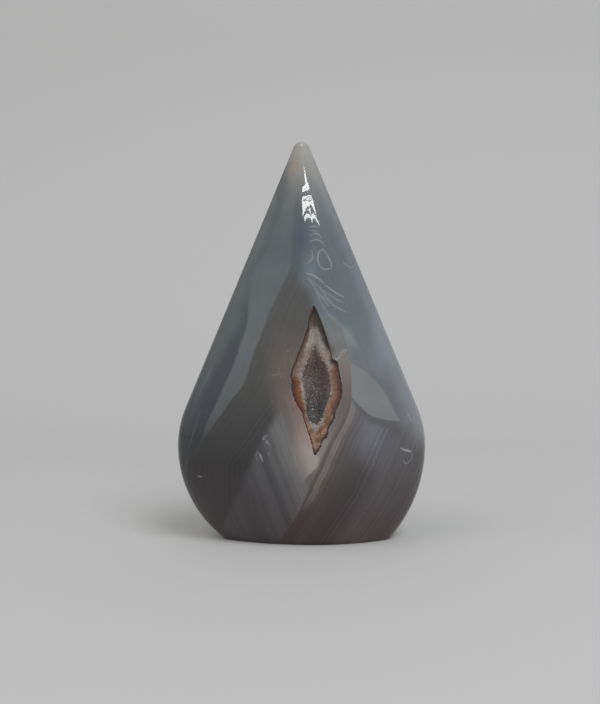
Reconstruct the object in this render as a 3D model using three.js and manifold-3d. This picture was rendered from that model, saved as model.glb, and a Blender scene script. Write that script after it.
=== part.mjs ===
// A polished agate flame: a flattened teardrop of banded agate that stands on a
// ground foot, with a natural cavity in its front that is lined by quartz crystals.
// Millimetres, +Z up. The origin is the middle of the foot, and the front faces -Y.
import * as THREE from "three";
import { mergeVertices } from "three/addons/utils/BufferGeometryUtils.js";
import Module from "manifold-3d";

const wasm = await Module();
wasm.setup();

// Driving dimensions of the stone
const HEIGHT = 120;
const TIP_RADIUS = 2.5;
const FOOT_EDGE = 0.6;
const STONE_POINTS_AROUND = 48;

// Half of the outline seen from the front, and half of the thickness seen from the
// side: where it is widest, the arc above that, and the arcs below it.
const WIDTH = { half: 37.5, level: 28.2, shoulder: 30, bellyLeft: 35.2, bellyRight: 42.5 };
const THICKNESS = { half: 17.5, level: 30, shoulder: 55, bellyLeft: 57.2, bellyRight: 57.2 };

// A soft ridge runs down each face. It leaves the tip at the middle and drifts aside.
const RIDGE = { front: 4.2, back: -2.4, run: 28 };
// How pinched the cross-section is: 0 is an ellipse, and more of it is a rhombus.
const PINCH = { bulb: 0.12, neck: 0.28, from: 35, to: 95 };

// The edge of the cavity in the polished face, as [across, up], from its top point
// down the left side to its lower point, and back up the right side.
const CAVITY_LEFT = [
  [3.5, 70.4], [2.1, 66], [1.3, 60.8], [0.1, 57.4], [-1.2, 54.8], [-3.1, 50],
  [-2.8, 47.4], [-1.2, 41.8], [1, 36.3], [3.8, 27.6],
];
const CAVITY_RIGHT = [
  [3.8, 27.6], [6.9, 33.5], [9.8, 39.9], [11.2, 45.4], [11.5, 48.8], [10.3, 54.2],
  [8.5, 56.7], [6.8, 63.1], [3.5, 70.4],
];
const CAVITY_POINTS_A_SIDE = 22;
const CAVITY_DEPTH = 10.5;
const CAVITY_MIDDLE = { across: 4.2, up: 47.6 };

// The crust of quartz: a rim that slopes down from the cavity's edge, and a hollow.
const CRUST_GAP = 0.3;
const RIM_DROP = 0.5;
const HOLLOW = { halfWidth: 4.1, halfHeight: 11.4, brink: 2, depth: 8.9, pinch: 0.1 };

// The druse: six-sided quartz points on the wall of the hollow
const CRYSTAL = { radius: 0.92, spread: 0.3, height: 1.3, root: 0.55, lean: 0.42, sides: 6 };
const CRYSTAL_ROWS = 5;
const CRYSTAL_SPACING = 1.9;
const SEED = 20260;

// A repeatable stream of numbers from 0 to 1
function numberStream(seed) {
  let state = seed;
  return () => {
    state = (state + 0x6d2b79f5) | 0;
    let mixed = Math.imul(state ^ (state >>> 15), 1 | state);
    mixed = (mixed + Math.imul(mixed ^ (mixed >>> 7), 61 | mixed)) ^ mixed;
    return ((mixed ^ (mixed >>> 14)) >>> 0) / 4294967296;
  };
}

// The angle from upright of the straight taper between the tip and a shoulder arc
function taperAngle(profile) {
  const across = profile.half - profile.shoulder;
  const rise = HEIGHT - TIP_RADIUS - profile.level;
  const lean = Math.atan2(across, rise);
  return Math.asin((profile.shoulder - TIP_RADIUS) / Math.hypot(across, rise)) + lean;
}

// Half of the width or thickness at a level: belly arc, shoulder arc, taper, tip arc
function halfExtent(profile, level, onRight = true) {
  const angle = taperAngle(profile);
  if (level <= profile.level) {
    const radius = onRight ? profile.bellyRight : profile.bellyLeft;
    return profile.half - radius + Math.sqrt(radius ** 2 - (profile.level - level) ** 2);
  }
  if (level <= profile.level + profile.shoulder * Math.sin(angle)) {
    const across = Math.sqrt(profile.shoulder ** 2 - (level - profile.level) ** 2);
    return profile.half - profile.shoulder + across;
  }
  const tipCentre = HEIGHT - TIP_RADIUS;
  const taperTop = tipCentre + TIP_RADIUS * Math.sin(angle);
  if (level <= taperTop) {
    return TIP_RADIUS * Math.cos(angle) + (taperTop - level) * Math.tan(angle);
  }
  return Math.sqrt(Math.max(0, TIP_RADIUS ** 2 - (level - tipCentre) ** 2));
}

// The cross-section's quarter curve: a circle's sine, drawn in towards a straight line
function pinched(sine, pinch) {
  return sine * (1 - pinch + pinch * sine ** 2);
}

function unpinched(value, pinch) {
  let sine = value;
  for (let step = 0; step < 20; step += 1) {
    sine -= (pinched(sine, pinch) - value) / (1 - pinch + 3 * pinch * sine ** 2);
  }
  return THREE.MathUtils.clamp(sine, -1, 1);
}

function pinchAt(level) {
  const share = THREE.MathUtils.smoothstep(level, PINCH.from, PINCH.to);
  return THREE.MathUtils.lerp(PINCH.bulb, PINCH.neck, share);
}

function ridgeAt(level, isFront) {
  const drift = isFront ? RIDGE.front : RIDGE.back;
  return drift * THREE.MathUtils.smoothstep(HEIGHT - level, 0, RIDGE.run);
}

// The distance from the ridge to the left or right edge
function flankWidth(level, isFront, onRight) {
  const ridge = ridgeAt(level, isFront);
  return halfExtent(WIDTH, level, onRight) - (onRight ? ridge : -ridge);
}

// A ring of points around the stone at a level, drawn in by an inset at the foot
function stoneRing(level, shapeLevel = level, inset = 0) {
  const pinch = pinchAt(shapeLevel);
  return Array.from({ length: STONE_POINTS_AROUND }, (_, index) => {
    const turn = (index / STONE_POINTS_AROUND) * 2 * Math.PI;
    const isFront = turn > Math.PI;
    const onRight = Math.cos(turn) >= 0;
    const flank = flankWidth(shapeLevel, isFront, onRight) - inset;
    const across = ridgeAt(shapeLevel, isFront) + flank * pinched(Math.cos(turn), pinch);
    const thickness = halfExtent(THICKNESS, shapeLevel) - inset;
    return new THREE.Vector3(across, thickness * pinched(Math.sin(turn), pinch), level);
  });
}

// The front face's place along Y, at a point seen from the front
function frontFace(across, level) {
  const ridge = ridgeAt(level, true);
  const pinch = pinchAt(level);
  const flank = flankWidth(level, true, across >= ridge);
  const cosine = unpinched((across - ridge) / flank, pinch);
  return -halfExtent(THICKNESS, level) * pinched(Math.sqrt(1 - cosine ** 2), pinch);
}

// A closed skin over rings of points, from a first pole to a last one
function skin(firstPole, rings, lastPole) {
  const around = rings[0].length;
  const points = [firstPole, ...rings.flat(), lastPole];
  const last = points.length - 1;
  const triangles = [];
  for (let index = 0; index < around; index += 1) {
    const next = (index + 1) % around;
    triangles.push(0, 1 + next, 1 + index);
    triangles.push(last, last - around + index, last - around + next);
    for (let ring = 0; ring < rings.length - 1; ring += 1) {
      const low = 1 + ring * around;
      const high = low + around;
      triangles.push(low + index, low + next, high + next);
      triangles.push(low + index, high + next, high + index);
    }
  }
  const geometry = new THREE.BufferGeometry().setFromPoints(points);
  geometry.setIndex(triangles);
  return geometry;
}

// A solid for joining and cutting, from a closed geometry
function toSolid(geometry) {
  const bare = geometry.clone();
  bare.deleteAttribute("normal");
  bare.deleteAttribute("uv");
  const merged = mergeVertices(bare, 1e-5);
  return new wasm.Manifold(new wasm.Mesh({
    numProp: 3,
    vertProperties: new Float32Array(merged.attributes.position.array),
    triVerts: new Uint32Array(merged.index.array),
  }));
}

function toGeometry(solid) {
  const { vertProperties, triVerts } = solid.getMesh();
  const geometry = new THREE.BufferGeometry();
  geometry.setAttribute("position", new THREE.BufferAttribute(vertProperties, 3));
  geometry.setIndex(new THREE.BufferAttribute(triVerts, 1));
  geometry.computeVertexNormals();
  return geometry;
}

// The stone before its cavity is opened
function stoneBlank() {
  const rings = [stoneRing(0, FOOT_EDGE, FOOT_EDGE), stoneRing(FOOT_EDGE)];
  const bulbRings = 15;
  const neckRings = 13;
  const tipRings = 4;
  const bulbTop = WIDTH.level + WIDTH.shoulder * Math.sin(taperAngle(WIDTH));
  const neckTop = HEIGHT - TIP_RADIUS;
  for (let ring = 1; ring <= bulbRings; ring += 1) {
    rings.push(stoneRing(THREE.MathUtils.lerp(FOOT_EDGE, bulbTop, ring / bulbRings)));
  }
  for (let ring = 1; ring <= neckRings; ring += 1) {
    rings.push(stoneRing(THREE.MathUtils.lerp(bulbTop, neckTop, ring / neckRings)));
  }
  for (let ring = 1; ring < tipRings; ring += 1) {
    const rise = TIP_RADIUS * Math.sin((ring / tipRings) * (Math.PI / 2));
    rings.push(stoneRing(neckTop + rise));
  }
  return skin(new THREE.Vector3(0, 0, 0), rings, new THREE.Vector3(0, 0, HEIGHT));
}

// The cavity's edge as points seen from the front, with its two corners kept
function cavityEdge() {
  const side = (corners) => {
    const knots = corners.map(([across, up]) => new THREE.Vector3(across, 0, up));
    const curve = new THREE.CatmullRomCurve3(knots, false, "centripetal");
    return curve.getSpacedPoints(CAVITY_POINTS_A_SIDE).slice(0, -1);
  };
  return [...side(CAVITY_LEFT), ...side(CAVITY_RIGHT)];
}

// The same edge drawn in by a gap, along the line to its neighbours' normal
function drawnIn(edge, gap) {
  return edge.map((point, index) => {
    const before = edge[(index + edge.length - 1) % edge.length];
    const after = edge[(index + 1) % edge.length];
    const along = after.clone().sub(before).normalize();
    const inward = new THREE.Vector3(-along.z, 0, along.x);
    return point.clone().addScaledVector(inward, gap);
  });
}

// The hollow's edge, point for point beside the cavity's
function hollowEdge(edge) {
  return edge.map((point) => {
    const turn = Math.atan2(
      (point.z - CAVITY_MIDDLE.up) / HOLLOW.halfHeight,
      (point.x - CAVITY_MIDDLE.across) / HOLLOW.halfWidth,
    );
    return new THREE.Vector3(
      CAVITY_MIDDLE.across + HOLLOW.halfWidth * pinched(Math.cos(turn), HOLLOW.pinch),
      0,
      CAVITY_MIDDLE.up + HOLLOW.halfHeight * pinched(Math.sin(turn), HOLLOW.pinch),
    );
  });
}

// An edge shrunk towards the cavity's middle and sunk below the polished face
function sunkRing(edge, scale, depth) {
  return edge.map((point) => {
    const across = THREE.MathUtils.lerp(CAVITY_MIDDLE.across, point.x, scale);
    const up = THREE.MathUtils.lerp(CAVITY_MIDDLE.up, point.z, scale);
    return new THREE.Vector3(across, frontFace(across, up) + depth, up);
  });
}

function sunkMiddle(depth) {
  const { across, up } = CAVITY_MIDDLE;
  return new THREE.Vector3(across, frontFace(across, up) + depth, up);
}

// Rings of a rounded bowl from its brink down, without its lowest point
function bowlRings(edge, brinkDepth, lowestDepth, count) {
  return Array.from({ length: count }, (_, index) => {
    const turn = (index / count) * (Math.PI / 2);
    const depth = THREE.MathUtils.lerp(brinkDepth, lowestDepth, Math.sin(turn));
    return sunkRing(edge, Math.cos(turn), depth);
  });
}

// The tool that opens the cavity: the bowl, carried out past the face
function cavityTool() {
  const edge = cavityEdge();
  const clearance = 4;
  const rings = [...bowlRings(edge, 0, CAVITY_DEPTH, 6).reverse(), sunkRing(edge, 1, -clearance)];
  return skin(sunkMiddle(CAVITY_DEPTH), rings, sunkMiddle(-clearance));
}

function agateStone() {
  return toGeometry(toSolid(stoneBlank()).subtract(toSolid(cavityTool())));
}

// The crust without its crystals: the cavity's bowl inside out, with a sloping rim
function crustShell() {
  const edge = cavityEdge();
  const outer = bowlRings(drawnIn(edge, CRUST_GAP), RIM_DROP, CAVITY_DEPTH - CRUST_GAP, 6);
  const inner = bowlRings(hollowEdge(edge), HOLLOW.brink, HOLLOW.depth, 5);
  const rings = [...outer.reverse(), ...inner];
  return skin(sunkMiddle(CAVITY_DEPTH - CRUST_GAP), rings, sunkMiddle(HOLLOW.depth));
}

// One quartz point, standing along +Y with its root below the origin
function quartzPoint(radius, height) {
  const shoulder = height - radius;
  const profile = [[0, -CRYSTAL.root], [radius, -CRYSTAL.root], [radius, shoulder], [0, height]];
  const outline = profile.map(([across, along]) => new THREE.Vector2(across, along));
  return new THREE.LatheGeometry(outline, CRYSTAL.sides);
}

// A place on the hollow's wall: how far down the bowl, and how far around it
function wallPoint(edge, down, around) {
  const turn = down * (Math.PI / 2);
  const position = around * edge.length;
  const first = Math.floor(position) % edge.length;
  const point = edge[first].clone().lerp(edge[(first + 1) % edge.length], position % 1);
  const depth = THREE.MathUtils.lerp(HOLLOW.brink, HOLLOW.depth, Math.sin(turn));
  return sunkRing([point], Math.cos(turn), depth)[0];
}

function wallNormal(edge, down, around) {
  const step = 0.01;
  const here = wallPoint(edge, down, around);
  const deeper = wallPoint(edge, down + step, around).sub(here);
  const beside = wallPoint(edge, down, around + step).sub(here);
  return beside.cross(deeper).normalize();
}

// Quartz points in rows around the hollow, each turned and leaning its own way
function druse() {
  const random = numberStream(SEED);
  const either = () => random() * 2 - 1;
  const edge = hollowEdge(cavityEdge());
  const crystals = [];
  for (let row = 0; row < CRYSTAL_ROWS; row += 1) {
    const down = (row + 0.35) / (CRYSTAL_ROWS + 0.2);
    const girth = 2 * Math.PI * Math.hypot(HOLLOW.halfWidth, HOLLOW.halfHeight) / Math.SQRT2;
    const inRow = Math.max(4, Math.round((girth * Math.cos(down * (Math.PI / 2))) / CRYSTAL_SPACING));
    for (let index = 0; index < inRow; index += 1) {
      const around = ((index + 0.5 * (row % 2) + 0.25 * either()) / inRow + 1) % 1;
      const level = down + 0.05 * either();
      const radius = CRYSTAL.radius + CRYSTAL.spread * either();
      const height = CRYSTAL.height * (radius / CRYSTAL.radius) * (0.75 + 0.5 * down);
      const lean = new THREE.Vector3(either(), either(), either()).multiplyScalar(CRYSTAL.lean);
      const axis = wallNormal(edge, level, around).add(lean).normalize();
      const crystal = quartzPoint(radius, height);
      crystal.rotateY(random() * Math.PI);
      crystal.applyQuaternion(
        new THREE.Quaternion().setFromUnitVectors(new THREE.Vector3(0, 1, 0), axis),
      );
      const place = wallPoint(edge, level, around);
      crystal.translate(place.x, place.y, place.z);
      crystals.push(toSolid(crystal));
    }
  }
  return crystals;
}

// The crust with its druse grown on: its outer skin alone, without the small voids
// that are closed in between neighbouring crystals
function quartzCrust() {
  const grown = wasm.Manifold.union([toSolid(crustShell()), ...druse()]);
  const skins = grown.decompose().sort((one, other) => other.volume() - one.volume());
  return toGeometry(skins[0]);
}

function piece(name, geometry, color, roughness) {
  const finish = new THREE.MeshStandardMaterial({ color, roughness, metalness: 0 });
  const mesh = new THREE.Mesh(geometry, finish);
  mesh.name = name;
  return mesh;
}

const flame = new THREE.Group();
flame.add(piece("agate_stone", agateStone(), 0x6a6c6d, 0.1));
flame.add(piece("quartz_crust", quartzCrust(), 0x8d7f76, 0.4));

export default flame;
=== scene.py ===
"""The looks of a polished agate flame with a druse-lined cavity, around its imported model.

Lengths are metres. Z is up, the front faces -Y, and the origin is the middle of the foot.
"""
import math
import random
from collections import namedtuple

import bmesh
import bpy
from mathutils import Matrix, Vector, noise


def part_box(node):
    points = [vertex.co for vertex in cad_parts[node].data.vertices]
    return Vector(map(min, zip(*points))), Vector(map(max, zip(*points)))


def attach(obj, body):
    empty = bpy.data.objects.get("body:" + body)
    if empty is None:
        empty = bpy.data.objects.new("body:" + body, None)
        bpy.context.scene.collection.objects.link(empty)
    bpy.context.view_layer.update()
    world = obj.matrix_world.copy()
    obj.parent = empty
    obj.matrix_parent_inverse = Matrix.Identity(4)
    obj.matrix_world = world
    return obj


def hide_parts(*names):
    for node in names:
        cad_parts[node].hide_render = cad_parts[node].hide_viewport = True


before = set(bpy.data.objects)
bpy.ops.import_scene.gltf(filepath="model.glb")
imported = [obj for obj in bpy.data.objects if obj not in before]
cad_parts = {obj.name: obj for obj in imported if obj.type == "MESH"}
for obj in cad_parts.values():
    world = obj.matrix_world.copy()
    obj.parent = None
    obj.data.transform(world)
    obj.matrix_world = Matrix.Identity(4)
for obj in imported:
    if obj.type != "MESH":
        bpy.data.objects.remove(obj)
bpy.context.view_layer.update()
# Blender's steps on a mesh in edit mode, and on whole objects
edit, act = bpy.ops.mesh, bpy.ops.object

MM = 0.001
SEED = 20260

# Driving dimensions of the stone. Its height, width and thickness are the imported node's.
_, STONE_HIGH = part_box("agate_stone")
HEIGHT = STONE_HIGH.z
TIP_RADIUS = 2.5 * MM
FOOT_EDGE = 0.6 * MM
Profile = namedtuple("Profile", "half level shoulder belly_left belly_right")
WIDTH = Profile(STONE_HIGH.x, 28.2 * MM, 30 * MM, 35.2 * MM, 42.5 * MM)
THICKNESS = Profile(STONE_HIGH.y, 30 * MM, 55 * MM, 57.2 * MM, 57.2 * MM)
# A soft ridge leaves the tip at the middle of each face and drifts aside. The section is
# pinched towards a lens, more so in the tip.
RIDGE_FRONT, RIDGE_BACK, RIDGE_RUN = 4.2 * MM, -2.4 * MM, 40 * MM
PINCH_BULB, PINCH_TIP, PINCH_FROM, PINCH_TO = 0.12, 0.28, 100 * MM, 112 * MM

# The cavity's edge in the polished face, across and up in millimetres, from its top point
# down the left side to its lower point, and back up the right side.
CAVITY_LEFT = (
    (3.5, 70.4), (2.1, 66.7), (1.9, 64.3), (1.1, 61.9), (0.2, 59.1), (-1.3, 55.8), (-1.7, 54.2),
    (-2.6, 52.4), (-3.3, 49.7), (-2.7, 49.1), (-2.8, 46.3), (-2.2, 43.9), (-1, 41.4), (0.1, 39.9),
    (0.9, 37.2), (1.7, 34.7), (2.8, 31.4), (3.7, 27.4),
)
CAVITY_RIGHT = (
    (3.7, 27.4), (4.4, 28.6), (5.4, 30.1), (5.6, 31.7), (6.8, 32.2), (7.5, 34.1), (7.6, 36),
    (9, 37.2), (9.4, 39.6), (10, 41.4), (11, 43), (11.5, 45.4), (11.4, 48.1), (10.9, 50.9),
    (10.4, 53.9), (9.5, 54.8), (8.9, 54.4), (8.6, 56.1), (7.9, 58.5), (7.3, 60.9), (6.3, 63.7),
    (5.3, 66.7), (4.4, 68.9), (3.5, 70.4),
)
# The brink of the druse-lined hollow inside it
HOLLOW_LEFT = (
    (3.6, 59), (2.8, 57.6), (2.1, 55.4), (1.1, 53.2), (0.5, 51.4), (0.1, 49.6), (0.7, 47),
    (1.1, 44.6), (1.3, 41.8), (1.4, 39.2), (2.2, 37.4), (3.9, 36.2),
)
HOLLOW_RIGHT = (
    (3.9, 36.2), (5, 36.9), (5.8, 38.3), (6.5, 40.4), (7.3, 42.3), (8.2, 44.4), (8.3, 47), (8, 50),
    (7.4, 52.6), (6, 54.6), (5, 56.4), (4.4, 58.2), (3.6, 59),
)
CAVITY_POINTS = 280
# Its broken edge's teeth grow from one level down to another, less on the left
TEETH_FROM, TEETH_FULL, LEFT_TEETH = 52 * MM, 42 * MM, 0.35
TOOTH_LEAST, TOOTH_MOST = 0.14 * MM, 0.6 * MM
CAVITY_MIDDLE = (4.2 * MM, 47.6 * MM)
CAVITY_DEPTH, HOLLOW_DEPTH = 10.5 * MM, 8.9 * MM
# The rim drops down a short wall and slopes to the brink, both deeper above than below
RIM_GAP, RIM_DROP = 0.1 * MM, 0.3 * MM
RIM_WALL_LOW, RIM_WALL_HIGH, RIM_WALL_SHARE = 0.5 * MM, 2 * MM, 0.14
BRINK_LOW, BRINK_HIGH = 1.2 * MM, 3.6 * MM
BRINK_FROM, BRINK_TO = 50 * MM, 60 * MM
# The druse's quartz points stand in rows down the hollow's wall
DRUSE_ROWS, DRUSE_GIRTH, DRUSE_SPACING = 22, 50 * MM, 0.52 * MM
# Gaps along the brink's row, and the share of crystals brightened as painted glints
BRINK_GAPS, PAINTED_GLINT_SHARE = 0.6, 0.05

# The photograph's frame, and the camera that its perspective gives
FRAME_HEIGHT, HORIZON_ROW, FOCAL_PIXELS = 704, 335, 837
CAMERA_PLACE = Vector((-0.45, -253.6, 61.7)) * MM
SENSOR = 36

# The lamp that the upper ridge mirrors: where it hangs, and its panels as across and up
# from its middle, width, height and tilt. Angles are in degrees.
UPPER_RIDGE = Vector((0.002, -0.008, 0.104))
LAMP_TURN_AND_RISE = (11, 30.5)
LAMP_WATTS_PER_AREA = 48
LAMP_PANELS = (
    (-0.24, -0.007, 0.32, 0.036, 0), (0.085, 0.035, 0.42, 0.044, 8),
    (-0.22, -0.0335, 0.28, 0.006, 0), (0.12, 0.003, 0.46, 0.008, 9.5),
)

# The polish's roughness, where it is whole and where it is worn, and its slight waves
POLISH, WORN = 0.02, 0.3
WAVES_MIDDLE, WAVES_REACH = (1.5, 103), (5, 4.4)
WAVES_APART, WAVES_HEIGHT = 3.2, 0.17 * MM

# From here on, and in all paints, places and the ends of fades are in millimetres, and
# colours are linear, in percent
STAGE_GREY = (50, 49.6, 48.8)
# The agate's zones: a level up the stone, and its colour. Their low levels are darkened as
# painted shade and painted dark reflection.
OUTER_FLANK = (
    (0, 2, 1.2, 1.2), (20, 1.8, 1.5, 1.7), (34, 4.2, 4.8, 5.4), (50, 8, 9, 9.5),
    (75, 10, 11.2, 11.3), (98, 12.5, 13.8, 14.2), (104, 15.8, 16.2, 15.7), (108, 19.2, 18.5, 17),
    (111, 24.5, 24, 21.5), (116, 33.5, 32.5, 30), (120, 35.5, 34.5, 32.2),
)
# Two blades of painted reflection on the left flank: a dark one and a light one
DARK_BLADE_REFLECTION = (
    (28, 2.8, 3, 3.5), (42, 4.4, 5, 5.9), (60, 6.2, 7.2, 8), (72, 8.4, 9.6, 10.5),
    (90, 9.6, 11, 11.5),
)
LIGHT_BLADE_REFLECTION = (
    (30, 4.3, 4.4, 4.8), (40, 8.6, 9.5, 10.1), (58, 12.2, 13.2, 13.8), (84, 10.2, 11.7, 12.4),
    (91, 10.3, 11.8, 12.5), (97, 10.8, 12.3, 12.9), (105, 18, 18.4, 18.3), (110, 24.5, 24, 22.2),
    (116, 33.5, 32.5, 30),
)
HEART = (
    (0, 5.5, 3, 2.8), (12, 3.8, 3, 3.2), (24, 2.7, 2.4, 2.4), (36, 4.3, 4.2, 4.2),
    (54, 6.8, 6.6, 6.1), (76, 7.9, 7.9, 7.7), (84, 7.6, 9.1, 9.7), (90, 7.9, 9.7, 10.4),
    (97, 8.9, 10.7, 11.4), (103, 13, 13.8, 13.8), (107, 20, 20.3, 20), (111, 26.8, 26, 24),
    (116, 34, 32.8, 30.8),
)
RIGHT_FLANK = (
    (30, 11.8, 11.5, 12.2), (38, 12.2, 12.8, 13.7), (46, 13, 13.8, 15), (56, 14.5, 15.8, 16.8),
    (63, 13.1, 15.2, 16.3), (72, 12.2, 13.9, 15.5), (84, 11.3, 13.1, 14.9), (92, 12.1, 14, 15.1),
    (98, 13.6, 15.1, 15.7), (104, 16.8, 17.7, 17.6), (108, 22, 22.5, 21.8), (112, 28, 27.5, 26),
    (116, 34, 33, 30.8), (120, 35.5, 34.5, 32.2),
)
# Right of the cavity, between its edge and the pale line
BESIDE_RIGHT = (
    (34, 11.3, 9.2, 8.4), (40, 10.6, 8.7, 8), (43, 11.6, 9.8, 9.1), (46, 14, 11.2, 10.4),
    (49, 15, 12.6, 11.8), (52, 16.6, 14.6, 13.4), (55, 17.6, 16.4, 15.3), (58, 16.3, 15.8, 15.4),
    (62, 16.6, 17.6, 17.6), (66, 14.5, 15.8, 16.5),
)
# Colours by the distance from a border
FAN_STRIPES = (
    (-14, 6.4, 6, 6.2), (-11.4, 5.2, 5, 5.3), (-9.6, 5.3, 5.1, 5.4), (-8, 6.4, 6.2, 6.6),
    (-6.4, 6, 5.9, 6.3), (-4.7, 8, 7.9, 8.3), (-3, 7.8, 7.7, 8.1), (-1.6, 5.5, 5.5, 5.8),
    (0.1, 8.3, 8.3, 8.7), (1.2, 9.8, 9.8, 10.2), (2.3, 9.3, 9.3, 9.6), (3.6, 11.9, 11.8, 12),
    (4.9, 13.7, 13.5, 13.7), (6.2, 14.2, 13.9, 14), (7.4, 15.2, 14.8, 14.6), (9, 12.8, 11.6, 11.1),
)
LOW_RIGHT = (
    (-1.8, 13.2, 11.6, 11), (-0.6, 9.4, 8.2, 7.8), (0.1, 15.6, 13.6, 12.6), (0.5, 17.4, 15.2, 14),
    (0.8, 14.6, 12.7, 11.8), (1.3, 17.6, 15.4, 14.2), (1.9, 10.6, 9.1, 8.4), (2.5, 11.4, 9.8, 9),
    (3.3, 7.8, 6.6, 6), (4.6, 8, 7, 6.7), (7, 6.2, 5.4, 5.2), (11, 5.6, 4.8, 4.9),
    (15, 6.8, 6, 6.4), (19, 9.6, 9, 9.4), (24, 9, 8.4, 8.8), (28, 8, 7.4, 7.8),
)
# Tints that warm and darken both towards the foot, at levels: painted shade and painted reddish
# reflection near the foot
FAN_FOOT_SHADE_TINT = ((2, 102, 80, 82), (9, 100, 88, 90), (16, 100, 94, 96), (26, 100, 100, 100))
LOW_FOOT_SHADE_TINT = ((2, 98, 68, 68), (9, 86, 70, 71), (16, 86, 80, 81), (25, 100, 100, 100))
# A dark colour low on the right: painted shade near the foot
LOW_FOOT_SHADE = (6.4, 5.2, 5.3)
PALE_WEDGE = (34.5, 29.2, 27.2)
HALO = (12, 9.7, 8.8)
IRON_STAIN = (29.5, 17.2, 12)
# A painted reflection on the right flank: a pale patch, and a dark band of shade below it
PALE_PATCH_REFLECTION = (18.4, 18.5, 18.7)
PATCH_SHADE = (9.8, 9.8, 10.7)
# The painted shadow beside the cavity's upper right edge
EDGE_SHADE = (7.8, 7.1, 6.8)
# Painted light along the right edge
PAINTED_EDGE_LIGHT = (27, 29, 31.2)
# One pale colour for scuffs, and for lines of painted reflection
SCRATCH_AND_REFLECTION_LINE = (42, 43, 45)
# Soft veils of colour: middle and reach across and up, and the share of the veil's colour
Veil = namedtuple("Veil", "colour middle reach share")
# A lilac haze of painted reflection, on the flank and near the foot
LILAC_SHEEN = (19, 19.6, 23.6)
LILAC_SHEEN_ON_FLANK = Veil(LILAC_SHEEN, (23.5, 58), (5, 11), 0.75)
LILAC_SHEEN_ON_FOOT = Veil(LILAC_SHEEN, (20.2, 33), (9.5, 14), 0.6)
GREEN_ON_FLANK = Veil((18.5, 20.7, 20.4), (13.4, 60.5), (3.6, 6), 0.8)
VIOLET_IN_HEART = Veil((7.2, 8.6, 13.5), (0.3, 90.5), (3, 7), 0.6)
TEAL_AT_RIDGE = Veil((15, 19.2, 21.8), (2.4, 81), (5.5, 9), 0.55)
# A painted glow of light in the tip
PAINTED_TIP_GLOW = Veil((34.5, 25.5, 20), (-2.3, 112.6), (3.2, 5), 0.42)
NOTCH_TAN = Veil((34.5, 26.8, 22.8), (7.8, 56.4), (2.1, 2.4), 0.9)

# Borders between zones, across at each level: (up, across)
# The edges of the dark and the light blade of painted reflection
DARK_REFLECTION_EDGE = (
    (28, -35), (32.2, -32.9), (39.5, -31), (48.9, -27.1), (57.3, -22.7), (64.7, -18.9),
    (71.6, -17.6), (86.7, -12.9), (100, -8),
)
LIGHT_REFLECTION_EDGE = (
    (24, -34.5), (30.5, -29.7), (35.4, -28), (43.2, -24.2), (52.3, -20.3), (59, -17.9), (66, -15.9),
    (72.8, -15.5), (79.6, -14.8), (86.5, -10.3), (93.7, -7.9), (104, -4),
)
HEART_EDGE = (
    (24, -34), (30.5, -29.2), (34, -26.7), (41.9, -21.2), (48.7, -16.4), (56.4, -14), (61.7, -11.7),
    (68.5, -9.2), (76.8, -5.3), (82.3, -3.3), (88.8, -2.8), (96.3, -2.6), (101, -1.9),
    (104.5, -0.6), (108, 1.2), (114, 4),
)
MIDDLE = (
    (0, -7.3), (4.1, -4.8), (8, -2.4), (12, -0.2), (17.6, 1.9), (21.9, 3.2), (25.6, 4.6), (30, 4.8),
    (66, 4), (73.3, 2.7), (81.2, 1), (88, 2.3), (97.2, 1.3), (112, 0.3),
)
MITRE = (
    (0, -26), (2.9, -24.4), (13.3, -19.3), (24.1, -14.7), (32.3, -10.9), (39, -7.1), (46, -5.2),
    (60, -4),
)
HALO_EDGE = ((33, -0.5), (35.3, -2.3), (37.1, -4.7), (41.8, -7.1), (47.4, -8.1), (61.7, -8.2))
WEDGE_EDGE = ((18, 2), (20.2, 0.9), (22.6, -0.2), (26.4, -1.5), (31.1, -2.2), (36, -2.8), (42, -4))
PALE_LINE = (
    (0, -7.3), (4.1, -4.8), (8, -2.4), (12.7, 0.5), (16.7, 2.9), (20.2, 4.3), (24, 6.1), (28.3, 8),
    (32.5, 9.9), (36.6, 12.3), (40.8, 13.8), (43.6, 14.3), (50, 14.2), (57.4, 13.5), (64.5, 10.8),
    (67, 9.4), (70.2, 6.6),
)
PATCH_SIDE = ((36, 29.2), (39.9, 26.7), (43.3, 24.8), (47.2, 22.3), (50.6, 18.9), (53.5, 14.2))
# The stone's right outline, the cavity's edge where iron stains the agate, and its upper
# right edge, where a painted shadow darkens the agate
RIGHT_OUTLINE = (
    (12, 34.3), (20, 36.7), (28, 37.5), (40, 35.1), (55, 28.8), (80, 18.4), (100, 10), (112, 5),
    (118, 2.5),
)
STAINED_EDGE = (
    (26, 3.9), (31.4, 2.8), (34.7, 1.7), (37.2, 0.9), (39.9, 0.1), (41.4, -1), (44, -2.2),
)
SHADED_EDGE = ((54, 9.4), (56, 8.4), (59.4, 6.9), (63.7, 5.2), (66.5, 3.8), (70, 2.8))
# The painted reflection's patch: its lower border and the foot of its shade, up at each place
# across
PATCH_FOOT = ((14, 44.4), (14.8, 43.6), (17.2, 40.7), (20.6, 38.4), (24.6, 37.3), (29, 36.5))
SHADE_FOOT = ((14, 42.4), (16.7, 39.8), (19.6, 36.9), (23, 35.4), (27.6, 34.6), (32, 35.5))
# How far in the painted light on the right edge reaches, and how strong the wedge's right side is,
# by level
PAINTED_LIGHT_REACH = ((28, 9), (44, 8), (60, 7), (80, 6), (95, 5), (112, 3))
WEDGE_REACH = ((20.5, 0), (23, 0.45), (25.5, 0.65), (28, 0.5), (31, 0.36), (34, 0.13), (37, 0))

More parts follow.
